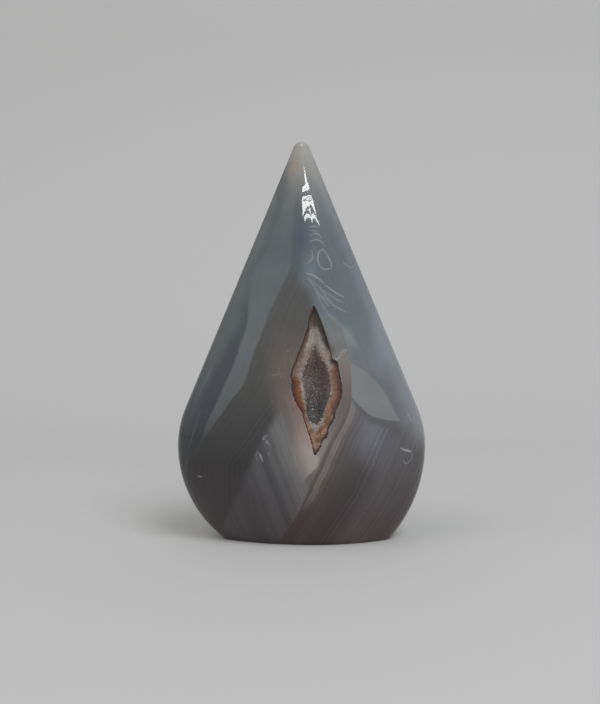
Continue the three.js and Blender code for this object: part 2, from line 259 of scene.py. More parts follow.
# The crust's bands, from the cavity's edge at 0 in to the hollow's brink at 1. Their dark outer
# ends are painted shade along the edge, and brown stain.
BANDS_LEFT = (
    (0, 8.5, 3.6, 2.2), (0.15, 7.2, 2.5, 1.3), (0.3, 12.5, 4.5, 2.3), (0.5, 16.5, 6.6, 3.2),
    (0.64, 17.6, 9.2, 5.8), (0.74, 25, 19, 15.5), (0.86, 29, 24.5, 22), (1, 20.5, 16.2, 14.5),
)
BANDS_RIGHT = (
    (0, 9.8, 5.6, 4.3), (0.12, 8.5, 4.2, 3), (0.27, 10.2, 4.9, 3.3), (0.4, 14, 7.3, 4.7),
    (0.52, 18, 9.8, 6.3), (0.65, 18.4, 10.2, 6.8), (0.78, 20.5, 12.6, 8.6), (0.9, 24, 16.5, 13.2),
    (1, 20, 14.5, 12),
)
BANDS_UPPER_LEFT = (
    (0, 10.8, 6.8, 5), (0.14, 12, 8, 5.9), (0.3, 15, 10.4, 8.2), (0.5, 19, 13.9, 11.3),
    (0.7, 23.2, 18.2, 15.4), (1, 23, 18.6, 16.6),
)
BANDS_UPPER_RIGHT = (
    (0, 7, 5.8, 5.1), (0.2, 8, 6.7, 6), (0.34, 13.5, 11.5, 10.2), (0.52, 21, 18, 16),
    (0.72, 29, 24.8, 22.6), (1, 25.5, 21.2, 19.6),
)
CRUST_TOP_SHADE = (11.8, 9.8, 8.6)
CRUST_PALE = (32.5, 29.5, 26.8)
CRUST_EDGE_SHADE_AND_STAIN = (8, 4.4, 3)
CRUST_TAN, CRUST_RUST = (26, 16.2, 11), (15, 8.2, 5.2)
CRUST_WHITE = (24, 20.8, 18.6)
# The druse's crystals, at levels up the stone, darker low down as painted shade in the hollow
DRUSE_WITH_PAINTED_SHADE = (
    (36, 10.6, 9.8, 9.2), (39, 11.8, 11, 10.4), (42, 15, 13.6, 13), (46, 24.5, 20.5, 19.6),
    (52, 29, 23, 21.6), (58, 33.5, 27, 25),
)

# Marks on the front face, as shallow arcs: half width, strength, start and end as across and
# up, and how far the arc bows to the left of its way. The first sixteen rows, a fan of lines, a
# ring and ripples below the ridge, are painted reflections; the rest are scuffs, chips and a
# vein. All are spread a little wider and fainter than their rows say.
MARK_SPREAD, MARK_STRENGTH = 2.3, 0.88
MARKS = (
    (0.2, 0.46, (1.3, 79.6), (6.5, 76.5), 0.6), (0.2, 0.38, (6.5, 76.5), (12.4, 72.9), -0.2),
    (0.16, 0.28, (2.9, 77.5), (12.2, 71.2), -0.5), (0.17, 0.28, (4.4, 74.3), (13.2, 68.3), -0.3),
    (0.18, 0.26, (2, 78.2), (8, 70.2), -0.3), (0.22, 0.22, (5.2, 75), (9.9, 69.2), 0.2),
    (0.25, 0.16, (3.4, 76.3), (8.8, 66.4), -0.4), (0.55, 0.13, (8.6, 67.4), (16, 58.4), 0.3),
    (0.18, 0.44, (6, 87), (5.6, 81.7), -1.1), (0.18, 0.44, (5.6, 81.7), (9, 81.4), -0.7),
    (0.18, 0.4, (9, 81.4), (6, 87), -0.6), (0.18, 0.3, (3, 86.5), (1, 82.4), 1.15),
    (0.15, 0.24, (2.2, 93.4), (4.8, 93.4), 0.15), (0.15, 0.2, (2.5, 92.2), (4.7, 92.2), 0.15),
    (0.16, 0.34, (2.7, 90.9), (5.9, 90.2), 0.9), (0.17, 0.36, (2.6, 89.1), (6.9, 87.8), 1.1),
    (0.14, 0.28, (12.1, 83.1), (14.7, 81.6), -0.1), (0.14, 0.26, (14.7, 81.6), (16, 82.9), -0.2),
    (0.35, 0.55, (-10.9, 32.1), (-10.8, 32.3), 0), (0.22, 0.22, (-11, 32.2), (-9.6, 33.1), 0.2),
    (0.32, 0.4, (-9.9, 31.5), (-9.7, 31.2), 0), (0.16, 0.28, (-9.7, 31.2), (-9, 30.4), 0),
    (0.22, 0.5, (-12, 28.1), (-11, 25.7), 0.05), (0.2, 0.22, (-12.4, 28.8), (-12.3, 26), -0.5),
    (0.3, 0.22, (-9.4, 27.8), (-9.2, 27.8), 0), (0.19, 0.6, (28.8, 28.7), (30.4, 27.9), 0.1),
    (0.24, 0.8, (30, 28.1), (32.2, 27.3), 0.05), (0.18, 0.24, (32.5, 27), (31.2, 24.2), 0.6),
    (0.2, 0.28, (31.4, 24.3), (29.9, 25.2), 0.5), (0.65, 0.24, (31.6, 38.2), (31.8, 38), 0),
    (0.15, 0.24, (31.8, 37.6), (32.2, 36.2), 0), (0.14, 0.45, (-30.6, 20), (-29.3, 19.9), 0),
    (0.18, 0.1, (-8.6, 50.2), (-5.2, 50.5), 0.1), (0.16, 0.1, (-6.4, 52.1), (-5.9, 49.3), 0),
    (0.17, 0.6, (-4, 56.9), (-4, 57), 0), (0.17, 0.6, (9.2, 53.9), (10.7, 55.1), 0.15),
    (0.5, 0.26, (10.8, 55.3), (13, 57.4), 0.3), (0.14, 0.12, (-29.9, 39.6), (-33.5, 28.2), 0.2),
    (0.22, 0.08, (-26.7, 52.3), (-31.7, 41.9), 0.2),
)


def deselect_all():
    if bpy.context.object and bpy.context.object.mode != "OBJECT":
        act.mode_set(mode="OBJECT")
    act.select_all(action="DESELECT")


def smoothstep(value, low, high):
    share = min(1, max(0, (value - low) / (high - low)))
    return share * share * (3 - 2 * share)


def lerp(start, end, share):
    return start + (end - start) * share


def taper_angle(profile):
    """The angle from upright of the straight taper between the tip and a shoulder arc."""
    across = profile.half - profile.shoulder
    rise = HEIGHT - TIP_RADIUS - profile.level
    reach = math.hypot(across, rise)
    return math.asin((profile.shoulder - TIP_RADIUS) / reach) + math.atan2(across, rise)


def half_extent(profile, level, on_right=True):
    """Half of the width or thickness at a level: belly arc, shoulder arc, taper, tip arc."""
    angle = taper_angle(profile)
    if level <= profile.level:
        radius = profile.belly_right if on_right else profile.belly_left
        return profile.half - radius + math.sqrt(radius**2 - (profile.level - level) ** 2)
    if level <= profile.level + profile.shoulder * math.sin(angle):
        across = math.sqrt(profile.shoulder**2 - (level - profile.level) ** 2)
        return profile.half - profile.shoulder + across
    tip_centre = HEIGHT - TIP_RADIUS
    taper_top = tip_centre + TIP_RADIUS * math.sin(angle)
    if level <= taper_top:
        return TIP_RADIUS * math.cos(angle) + (taper_top - level) * math.tan(angle)
    return math.sqrt(max(0, TIP_RADIUS**2 - (level - tip_centre) ** 2))


def pinch_at(level):
    return lerp(PINCH_BULB, PINCH_TIP, smoothstep(level, PINCH_FROM, PINCH_TO))


def pinched(sine, pinch):
    """A circle's sine, drawn in towards a straight line."""
    return sine * (1 - pinch + pinch * sine**2)


def unpinched(value, pinch):
    """The sine that is pinched to a value."""
    steps = 20
    sine = value
    for _ in range(steps):
        sine -= (pinched(sine, pinch) - value) / (1 - pinch + 3 * pinch * sine**2)
    return min(1, max(-1, sine))


def ridge_at(level, on_front):
    drift = RIDGE_FRONT if on_front else RIDGE_BACK
    return drift * smoothstep(HEIGHT - level, 0, RIDGE_RUN)


def flank_width(level, on_front, on_right):
    """The distance from the ridge to the left or right edge."""
    ridge = ridge_at(level, on_front)
    return half_extent(WIDTH, level, on_right) - (ridge if on_right else -ridge)


def foot_inset(level):
    """How far the foot's rounded edge draws the outline in."""
    missing = max(0, 1 - level / FOOT_EDGE)
    return FOOT_EDGE * (1 - math.sqrt(1 - missing**2))


def section_point(turn, level):
    """A point of the stone's cross-section at a level. The front is at negative turns."""
    on_front, on_right = math.sin(turn) < 0, math.cos(turn) >= 0
    pinch, inset = pinch_at(level), foot_inset(level)
    flank = flank_width(level, on_front, on_right) - inset
    across = ridge_at(level, on_front) + flank * pinched(math.cos(turn), pinch)
    deep = (half_extent(THICKNESS, level) - inset) * pinched(math.sin(turn), pinch)
    return Vector((across, deep, level))


def front_face(across, level):
    """The polished front's place along Y, at a point seen from the front."""
    ridge, pinch = ridge_at(level, True), pinch_at(level)
    flank = flank_width(level, True, across >= ridge)
    cosine = unpinched((across - ridge) / flank, pinch)
    return -half_extent(THICKNESS, level) * pinched(math.sqrt(1 - cosine**2), pinch)


def stone_levels():
    """Levels for the rough stone: close together at the foot's edge and in the tip."""
    foot_steps, bulb_steps, neck_steps, tip_steps = 3, 18, 18, 6
    bulb_top = WIDTH.level + WIDTH.shoulder * math.sin(taper_angle(WIDTH))
    neck_top = HEIGHT - TIP_RADIUS
    quarter = math.pi / 2
    foot = [FOOT_EDGE * (1 - math.cos(quarter * i / foot_steps)) for i in range(foot_steps)]
    bulb = [lerp(FOOT_EDGE, bulb_top, i / bulb_steps) for i in range(bulb_steps)]
    neck = [lerp(bulb_top, neck_top, i / neck_steps) for i in range(neck_steps)]
    tip = [neck_top + TIP_RADIUS * math.sin(quarter * i / tip_steps) for i in range(tip_steps + 1)]
    return foot + bulb + neck + tip


def extrude_up(rise):
    edit.extrude_region_move(TRANSFORM_OT_translate={"value": (0, 0, rise)})


def close_skin(cuts=0):
    """Draws the last ring to a point, cuts the faces finer, and turns them outward."""
    edit.merge(type="COLLAPSE")
    edit.select_all(action="SELECT")
    if cuts:
        edit.subdivide(number_cuts=cuts)
    edit.normals_make_consistent(inside=False)
    act.mode_set(mode="OBJECT")


def make_active(piece):
    piece.select_set(True)
    bpy.context.view_layer.objects.active = piece


def rough_out_stone():
    """An oval disc, raised level by level and widened or narrowed at each, then closed."""
    rough_sides, cuts = 64, 2
    levels = stone_levels()
    widths = [half_extent(WIDTH, level) for level in levels]
    depths = [half_extent(THICKNESS, level) for level in levels]
    edit.primitive_circle_add(vertices=rough_sides, radius=1, fill_type="NGON")
    stone = bpy.context.object
    stone.name = stone.data.name = "polished_flame"
    act.mode_set(mode="EDIT")
    bpy.ops.transform.resize(value=(widths[0], depths[0], 1))
    for i in range(1, len(levels)):
        extrude_up(levels[i] - levels[i - 1])
        if i < len(levels) - 1:
            grow = (widths[i] / widths[i - 1], depths[i] / depths[i - 1], 1)
            bpy.ops.transform.resize(value=grow, center_override=(0, 0, levels[i]))
    close_skin(cuts)
    return stone


def press_ridges(stone):
    """Presses the oval stone to its real section, with a soft ridge down each face."""
    at_pole, least = TIP_RADIUS / 1000, TIP_RADIUS / 100
    for vertex in stone.data.vertices:
        across, deep, level = vertex.co
        if math.hypot(across, deep) < at_pole:
            continue
        width = max(half_extent(WIDTH, level), least)
        depth = max(half_extent(THICKNESS, level), least)
        vertex.co = section_point(math.atan2(deep / depth, across / width), level)


def spaced_along(corners, count):
    """Points at equal steps along a line of corners, without its last."""
    places = [Vector((across * MM, 0, up * MM)) for across, up in corners]
    lengths = [(b - a).length for a, b in zip(places, places[1:])]
    points = []
    for index in range(count):
        left = sum(lengths) * index / count
        for start, end, length in zip(places, places[1:], lengths):
            if left <= length:
                points.append(start.lerp(end, left / length))
                break
            left -= length
    return points


def softened(ring, passes):
    """A ring of points with its corners rounded."""
    for _ in range(passes):
        ring = [
            (ring[i - 1] + 2 * ring[i] + ring[(i + 1) % len(ring)]) / 4
            for i in range(len(ring))
        ]
    return ring


def moved_inward(ring, distances):
    moved = []
    for i, point in enumerate(ring):
        along = (ring[(i + 1) % len(ring)] - ring[i - 1]).normalized()
        moved.append(point + Vector((-along.z, 0, along.x)) * distances[i])
    return moved


def ring_through(left, right, passes):
    """A softened ring, down a left side and up a right one."""
    half = CAVITY_POINTS // 2
    return softened(spaced_along(left, half) + spaced_along(right, half), passes)


def cavity_edge():
    """The cavity's broken edge: short teeth on a long oval."""
    chance = random.Random(SEED)
    ring = ring_through(CAVITY_LEFT, CAVITY_RIGHT, 3)
    teeth = []
    while len(teeth) < CAVITY_POINTS:
        length, bite = chance.randint(2, 6), chance.uniform(0.2, 1)
        teeth += [bite * step / length for step in range(length)]
    distances = []
    for i, point in enumerate(ring):
        low = smoothstep(-point.z, -TEETH_FROM, -TEETH_FULL)
        share = low if i > CAVITY_POINTS // 2 else LEFT_TEETH * low
        distances.append((teeth[i] - 0.5) * lerp(TOOTH_LEAST, TOOTH_MOST, share))
    return moved_inward(ring, distances)


def sunk(point, depth):
    """A point of the front, sunk below the polished face."""
    return Vector((point.x, front_face(point.x, point.z) + depth, point.z))


def raise_rings(name, rings, inward):
    """A closed skin through rings. Their points keep how far inward each ring is."""
    deselect_all()
    edit.primitive_circle_add(vertices=len(rings[0]), radius=MM, fill_type="NGON")
    piece = bpy.context.object
    piece.name = piece.data.name = name
    piece.data.attributes.new("inward", "FLOAT", "POINT")
    place = piece.data.attributes.new("place", "INT", "POINT")
    place.data.foreach_set("value", range(len(rings[0])))
    act.mode_set(mode="EDIT")
    for number, ring in enumerate(rings):
        if number:
            edit.extrude_region_move()
        skin = bmesh.from_edit_mesh(piece.data)
        order, reach = skin.verts.layers.int["place"], skin.verts.layers.float["inward"]
        for vertex in skin.verts:
            if vertex.select:
                vertex.co, vertex[reach] = ring[vertex[order]], inward[number]
        bmesh.update_edit_mesh(piece.data)
    close_skin()
    piece.data.attributes.remove(piece.data.attributes["place"])
    return piece


def bowl_point(point, depth, lowest, down, ease=0):
    """A point of a rounded bowl, part of the way down. An eased wall starts as a slope."""
    turn = down * math.pi / 2
    middle = Vector((CAVITY_MIDDLE[0], 0, CAVITY_MIDDLE[1]))
    place = point.lerp(middle, lerp(1 - math.cos(turn), down, ease))
    return sunk(place, lerp(depth, lowest, math.sin(turn)))


def bowl(ring, depths, lowest, count, eased=False):
    """Rings of a rounded bowl, from its brink down to its lowest."""
    slopes = [wall_ease(point) if eased else 0 for point in ring]
    return [
        [
            bowl_point(point, depth, lowest, step / count, ease)
            for point, depth, ease in zip(ring, depths, slopes)
        ]
        for step in range(count)
    ]


def open_cavity(stone):
    """Cuts the cavity's bowl out of the stone."""
    clearance = 3 * MM
    edge = cavity_edge()
    outside = [sunk(point, -clearance) for point in edge]
    rings = [outside] + bowl(edge, [0] * len(edge), CAVITY_DEPTH, 8)
    cutter = raise_rings("cavity_cutter", rings, range(len(rings)))
    deselect_all()
    make_active(stone)
    cut = stone.modifiers.new("Cavity", "BOOLEAN")
    cut.object, cut.operation, cut.solver = cutter, "DIFFERENCE", "EXACT"
    act.modifier_apply(modifier=cut.name)
    bpy.data.objects.remove(cutter)
    act.shade_smooth_by_angle(angle=math.radians(30))


def make_stone():
    stone = rough_out_stone()
    press_ridges(stone)
    open_cavity(stone)
    return stone


def wall_ease(point):
    """The hollow's wall is a slope at its top, and steep below."""
    return smoothstep(point.z, BRINK_FROM, BRINK_TO)


def hollow_brink():
    """The brink of the druse's hollow, and how deep it is at each point."""
    brink = ring_through(HOLLOW_LEFT, HOLLOW_RIGHT, 8)
    return brink, [lerp(BRINK_LOW, BRINK_HIGH, wall_ease(point)) for point in brink]


def roughness_at(point, size):
    """Uneven rock: how far a point stands off a smooth surface, about -1 to 1."""
    return noise.noise(point / size) + 0.5 * noise.noise(point / (0.4 * size))


def rim_depth(place, share, brink):
    """How deep the rim is on its way in: down a short wall, then along a slope."""
    wall = lerp(RIM_WALL_LOW, RIM_WALL_HIGH, wall_ease(place))
    if share < RIM_WALL_SHARE:
        return lerp(RIM_DROP, wall, share / RIM_WALL_SHARE)
    return lerp(wall, brink, ((share - RIM_WALL_SHARE) / (1 - RIM_WALL_SHARE)) ** 1.2)


def rim_rings(edge, brink, depths, shares):
    """The crust's rim, from the cavity's edge in to the hollow's brink."""
    roughness, grain = 0.13 * MM, 1.1 * MM
    rings = []
    for share in shares:
        ring = []
        for outer, inner, depth in zip(edge, brink, depths):
            place = outer.lerp(inner, share)
            uneven = roughness * min(1, 4 * share) * roughness_at(place, grain)
            ring.append(sunk(place, rim_depth(place, share, depth) + uneven))
        rings.append(ring)
    return rings


def make_crust_shell():
    """The crust's shell: its back in the cavity, its rim, and the wall of its hollow."""
    back_rings, slope_rings, wall_rings = 6, 10, 16
    edge = cavity_edge()
    brink, depths = hollow_brink()
    drawn_in = moved_inward(edge, [RIM_GAP] * len(edge))
    drops = [RIM_DROP] * len(edge)
    back = bowl(drawn_in, drops, CAVITY_DEPTH - RIM_GAP, back_rings)[:0:-1]
    slope = [lerp(RIM_WALL_SHARE, 1, step / slope_rings) for step in range(slope_rings)]
    shares = [0, RIM_WALL_SHARE / 2] + slope
    rim = rim_rings(drawn_in, brink, depths, shares)
    wall = bowl(brink, depths, HOLLOW_DEPTH, wall_rings, eased=True)
    downward = [1 + step / wall_rings for step in range(wall_rings)]
    return raise_rings("druse_crust", back + rim + wall, [0] * len(back) + shares + downward)


def wall_place(edge, depths, around, down):
    """A place on the hollow's wall: how far around it, and how far down its bowl."""
    position = around * len(edge)
    first = int(position) % len(edge)
    second, share = (first + 1) % len(edge), position % 1
    point = edge[first].lerp(edge[second], share)
    depth = lerp(depths[first], depths[second], share)
    return bowl_point(point, depth, HOLLOW_DEPTH, down, wall_ease(point))


def wall_normal(edge, depths, around, down):
    step = 0.01
    here = wall_place(edge, depths, around, down)
    deeper = wall_place(edge, depths, around, down + step) - here
    beside = wall_place(edge, depths, around + step, down) - here
    return beside.cross(deeper).normalized()


def quartz_point():
    """One six-sided quartz point, 1 across its corners, on a buried root."""
    middle, peak = -0.2, 0.5
    deselect_all()
    edit.primitive_cylinder_add(vertices=6, radius=0.5, depth=1, location=(0, 0, middle))
    crystal = bpy.context.object
    act.transform_apply(location=True)
    act.mode_set(mode="EDIT")
    edit.select_all(action="DESELECT")
    skin = bmesh.from_edit_mesh(crystal.data)
    for face in skin.faces:
        face.select_set(face.normal.z > 0.5)
    bmesh.update_edit_mesh(crystal.data)
    extrude_up(peak)
    edit.merge(type="COLLAPSE")
    act.mode_set(mode="OBJECT")
    return crystal


def druse_places(chance):
    """Where the crystals stand: how far around and down the hollow's wall."""
    for row in range(DRUSE_ROWS):
        down = (row + 0.2) / DRUSE_ROWS
        in_row = max(5, round(DRUSE_GIRTH * math.cos(down * math.pi / 2) / DRUSE_SPACING))
        for index in range(in_row):
            if row == 0 and chance.random() < BRINK_GAPS:
                continue
            around = (index + 0.5 * (row % 2) + chance.uniform(-0.3, 0.3)) / in_row % 1
            yield around, max(0, down + chance.uniform(-0.3, 0.3) / DRUSE_ROWS)


def set_crystal(pattern, chance, place, normal, down):
    """A copy of the quartz point on the wall, with a lean, a turn, a size, a shade and, rarely, a
    painted glint.
    """
    lean = Vector([chance.uniform(-0.25, 0.25) for _ in range(3)])
    width = chance.uniform(0.6, 1.1) * MM
    upright = (normal + lean).normalized().to_track_quat("Z", "Y").to_matrix().to_4x4()
    spin = Matrix.Rotation(chance.uniform(0, math.pi), 4, "Z")
    size = Matrix.Diagonal((width, width, width * chance.uniform(0.25, 0.5), 1))
    crystal = pattern.copy()
    crystal.data = pattern.data.copy()
    crystal.data.transform(Matrix.Translation(place) @ upright @ spin @ size)
    # A few crystals are brightened as painted glints
    painted_glint = chance.random() < PAINTED_GLINT_SHARE
    tint = chance.uniform(1.6, 3) if painted_glint else chance.random()
    for name, value in (("crystal_tint", tint), ("inward", 1 + down)):
        mark = crystal.data.attributes.new(name, "FLOAT", "POINT")
        mark.data.foreach_set("value", [value] * len(crystal.data.vertices))
    bpy.context.collection.objects.link(crystal)
    return crystal


def grow_druse(crust):
    """Grows low quartz points over the hollow's wall, and joins them to the crust."""
    chance = random.Random(SEED)
    brink, depths = hollow_brink()
    pattern = quartz_point()
    crystals = []
    for around, down in druse_places(chance):
        spot = (brink, depths, around, down)
        place, normal = wall_place(*spot), wall_normal(*spot)
        crystals.append(set_crystal(pattern, chance, place, normal, down))
    bpy.data.objects.remove(pattern)
    rock_faces = len(crust.data.polygons)
    deselect_all()
    for crystal in crystals:
        crystal.select_set(True)
    make_active(crust)
    act.join()
    for face in crust.data.polygons:
        face.material_index = int(face.index >= rock_faces)


def make_crust():
    crust = make_crust_shell()
    make_active(crust)
    act.shade_smooth()
    grow_druse(crust)
    return crust


def add_camera():
    """The camera at the photograph's place. Its lens is set for the frame's long side."""
    data = bpy.data.cameras.new("Front camera")
    data.sensor_width = SENSOR
    data.lens = FOCAL_PIXELS / FRAME_HEIGHT * SENSOR
    data.clip_start = 10 * MM
    camera = bpy.data.objects.new("Front camera", data)
    camera.location = CAMERA_PLACE
    pitch = math.atan((FRAME_HEIGHT / 2 - HORIZON_ROW) / FOCAL_PIXELS)
    camera.rotation_euler = (math.pi / 2 - pitch, 0, 0)
    bpy.context.scene.collection.objects.link(camera)
    bpy.context.scene.camera = camera


def select_edges(piece, wanted):
    """Selects only the edges whose two ends are both wanted."""
    edit.select_mode(type="EDGE")
    edit.select_all(action="DESELECT")
    skin = bmesh.from_edit_mesh(piece.data)
    for edge in skin.edges:
        if all(wanted(vertex.co) for vertex in edge.verts):
            edge.select_set(True)
    bmesh.update_edit_mesh(piece.data)


def add_stage():
    """A plain pale floor that sweeps up into a wall behind the stone."""
    deselect_all()
    side_reach, front_reach, wall_y, wall_height, sweep = 1.8, 0.95, 0.55, 2.2, 0.35
    edit.primitive_plane_add(size=1)
    stage = bpy.context.object
    stage.name = stage.data.name = "Floor and wall"
    stage.scale = (2 * side_reach, front_reach + wall_y, 1)
    stage.location = (0, (wall_y - front_reach) / 2, 0)
    act.transform_apply(location=True, scale=True)
    act.mode_set(mode="EDIT")
    select_edges(stage, lambda place: place.y > wall_y - MM)
    extrude_up(wall_height)
    select_edges(stage, lambda place: place.y > wall_y - MM and place.z < MM)
    edit.bevel(offset=sweep, segments=24)
    act.mode_set(mode="OBJECT")
    act.shade_smooth()
    stage.data.materials.append(plain("Stage", STAGE_GREY, 0.8))


def add_light(name, place, aim, size, power, colour):
    """A soft box at a place, turned to what it lights."""
    data = bpy.data.lights.new(name, "AREA")
    data.shape = "RECTANGLE"
    data.size, data.size_y = size
    data.energy, data.color = power, colour
    light = bpy.data.objects.new(name, data)
    light.location = place
    light.rotation_mode = "QUATERNION"
    light.rotation_quaternion = (Vector(aim) - Vector(place)).to_track_quat("-Z", "Y")
    light.visible_camera = False
    bpy.context.scene.collection.objects.link(light)
    return light


def add_ridge_lamp():
    """A small lamp of four panels, 1 m away, that the upper ridge mirrors."""
    turn, rise = (math.radians(angle) for angle in LAMP_TURN_AND_RISE)
    level = math.cos(rise)
    away = Vector((math.sin(turn) * level, -math.cos(turn) * level, math.sin(rise)))
    side = Vector((0, 0, 1)).cross(away).normalized()
    upward = away.cross(side)
    facing = Matrix((side, upward, away)).transposed()
    for across, up, wide, tall, tilt in LAMP_PANELS:
        place = UPPER_RIDGE + away + side * across + upward * up
        power = LAMP_WATTS_PER_AREA * wide * tall
        light = add_light("Lamp panel", place, UPPER_RIDGE, (wide, tall), power, (1, 1, 1))
        tilted = facing @ Matrix.Rotation(math.radians(tilt), 3, "Z")
        light.rotation_quaternion = tilted.to_quaternion()


def add_lights():
    """Two soft boxes above the front, and the lamp that the ridge mirrors."""
    middle = Vector((0, 0, HEIGHT / 2))
    add_light("Right box", (0.56, -0.7, 1.38), middle, (0.7, 0.7), 11.2, (0.95, 0.98, 1))
    add_light("Left box", (-0.85, -0.5, 1.35), middle, (0.8, 0.8), 4, (1, 0.97, 0.94))
    add_ridge_lamp()


def add_world():
    """A pale, even world all round, shown in plain colours."""
    world = bpy.data.worlds.new("Soft studio")
    world.use_nodes = True
    background = world.node_tree.nodes["Background"]
    background.inputs["Color"].default_value = (0.83, 0.84, 0.86, 1)
    background.inputs["Strength"].default_value = 0.6
    bpy.context.scene.world = world
    bpy.context.scene.view_settings.view_transform = "Standard"


def rgba(colour):
    """A colour in percent, as Blender takes it."""
    return (*(part / 100 for part in colour), 1)


class Mix:
    """One node tree, written as steps: each adds a node and gives the output it makes."""

    def __init__(self, tree):
        self.tree = tree
        # The place that paints are laid by, and the front as a mask
        self.across = self.up = self.front = None

    def feed(self, socket, value):
        if isinstance(value, bpy.types.NodeSocket):
            self.tree.links.new(value, socket)
        elif socket.type == "RGBA":
            socket.default_value = rgba(value)
        else:
            socket.default_value = value

    def step(self, kind, values=(), output=0, **settings):
        """Adds a node. Its values are in the order of its sockets, or a dict."""
        node = self.tree.nodes.new("ShaderNode" + kind)
        for name, setting in settings.items():
            setattr(node, name, setting)
        given = values if isinstance(values, dict) else dict(enumerate(values))
        for socket, value in given.items():
            self.feed(node.inputs[socket], value)
        return node.outputs[output]

    def math(self, operation, *values):
        return self.step("Math", values, operation=operation)

    def vector(self, operation, *values):
        """A step on vectors. A dot product or a length gives a number."""
        output = int(operation in ("DOT_PRODUCT", "LENGTH"))
        return self.step("VectorMath", values, output, operation=operation)

    def scaled(self, vector, scale):
        return self.step("VectorMath", {0: vector, 3: scale}, operation="SCALE")

    def split(self, vector):
        return self.step("SeparateXYZ", (vector,)).node.outputs

    def mapped(self, value, low, high, first, last, way="LINEAR"):
        values = (value, low, high, first, last)
        return self.step("MapRange", values, interpolation_type=way, clamp=False)

    def fade(self, value, start, end, first=0, last=1):
        """The first value up to the start, the last from the end on, and smooth between."""
        return self.mapped(value, start, end, first, last, "SMOOTHSTEP")

    def levels(self, start, end, first=0, last=1):
        return self.fade(self.up, start, end, first, last)

    def linear(self, value, factor, plus):
        return self.math("MULTIPLY_ADD", value, factor, plus)

    def minus(self, value, less):
        return self.math("SUBTRACT", value, less)

    def times(self, *masks):
        """A product: where all masks are, or how strong."""
        product = masks[0]
        for mask in masks[1:]:
            product = self.math("MULTIPLY", product, mask)
        return product

    def within(self, value, rise, fall):
        """A mask that rises over one range and falls over another."""
        return self.times(self.fade(value, *rise), self.fade(value, *fall))

    def past_edge(self, distance, soft):
        """A mask past an edge, blended over a soft width on both sides."""
        return self.fade(distance, self.times(soft, -1), soft)

    def paint(self, under, over, share):
        return self.step("Mix", {0: share, 6: under, 7: over}, 2, data_type="RGBA")

    def tint(self, colour, by):
        values = {0: 1, 6: colour, 7: by}
        return self.step("Mix", values, 2, data_type="RGBA", blend_type="MULTIPLY")

    def shaded(self, colour, shade):
        """A colour made lighter or darker."""
        return self.tint(colour, self.step("CombineColor", (shade, shade, shade)))

    def curve(self, value, points):
        """A smooth line through points, read at a value."""
        low, high = points[0][0], points[-1][0]
        least, most = min(end for _, end in points), max(end for _, end in points)
        line = self.step("FloatCurve", {"Value": self.mapped(value, low, high, 0, 1)})
        knots = line.node.mapping.curves[0].points
        for number, (start, end) in enumerate(points):
            knot = (start - low) / (high - low), (end - least) / (most - least)
            if number < 2:
                knots[number].location = knot
            else:
                knots.new(*knot)
        line.node.mapping.extend = "HORIZONTAL"
        line.node.mapping.update()
        return self.mapped(line, 0, 1, least, most)

    def beside(self, border):
        """How far a place is to the right of a border."""
        return self.minus(self.across, self.curve(self.up, border))

    def over(self, border):
        return self.minus(self.up, self.curve(self.across, border))

    def shades(self, value, stops):
        """Colours at the stops along a value, blended from each to the next."""
        low, high = stops[0][0], stops[-1][0]
        colour = self.step("ValToRGB", (self.mapped(value, low, high, 0, 1),))
        elements = colour.node.color_ramp.elements
        elements[1].position = (stops[1][0] - low) / (high - low)
        for number, (start, *shade) in enumerate(stops):
            place = (start - low) / (high - low)
            element = elements[number] if number < 2 else elements.new(place)
            element.color = rgba(shade)
        return colour

    def noise(self, place, size, detail=2, output=0):
        """Uneven values about a size apart, near 0.5."""
        values = {"Vector": place, "Scale": 1 / size, "Detail": detail}
        return self.step("TexNoise", values, output)

    def uneven(self, place, size, detail):
        """Uneven values about a size apart, near 0."""
        return self.minus(self.noise(place, size, detail), 0.5)

    def streaks(self, colour, field, size, strength):
        """A colour with lighter and darker lines where a field keeps its value."""
        values = {"W": field, "Scale": 1 / size, "Detail": 3, "Roughness": 0.65}
        lines = self.step("TexNoise", values, noise_dimensions="1D")
        return self.shaded(colour, self.mapped(lines, 0.25, 0.75, 1 - strength, 1 + strength))

    def blob(self, across, up, middle, reach):
        """A soft round patch: 1 at its middle, 0 at its reach."""
        offsets = [
            self.math("DIVIDE", self.minus(value, centre), size)
            for value, centre, size in zip((across, up), middle, reach)
        ]
        return self.fade(self.vector("LENGTH", self.step("CombineXYZ", offsets)), 1, 0)

    def veiled(self, colour, veil, *masks):
        """A colour under a veil, where the masks are."""
        patch = self.blob(self.across, self.up, veil.middle, veil.reach)
        return self.paint(colour, veil.colour, self.times(patch, *masks, veil.share))


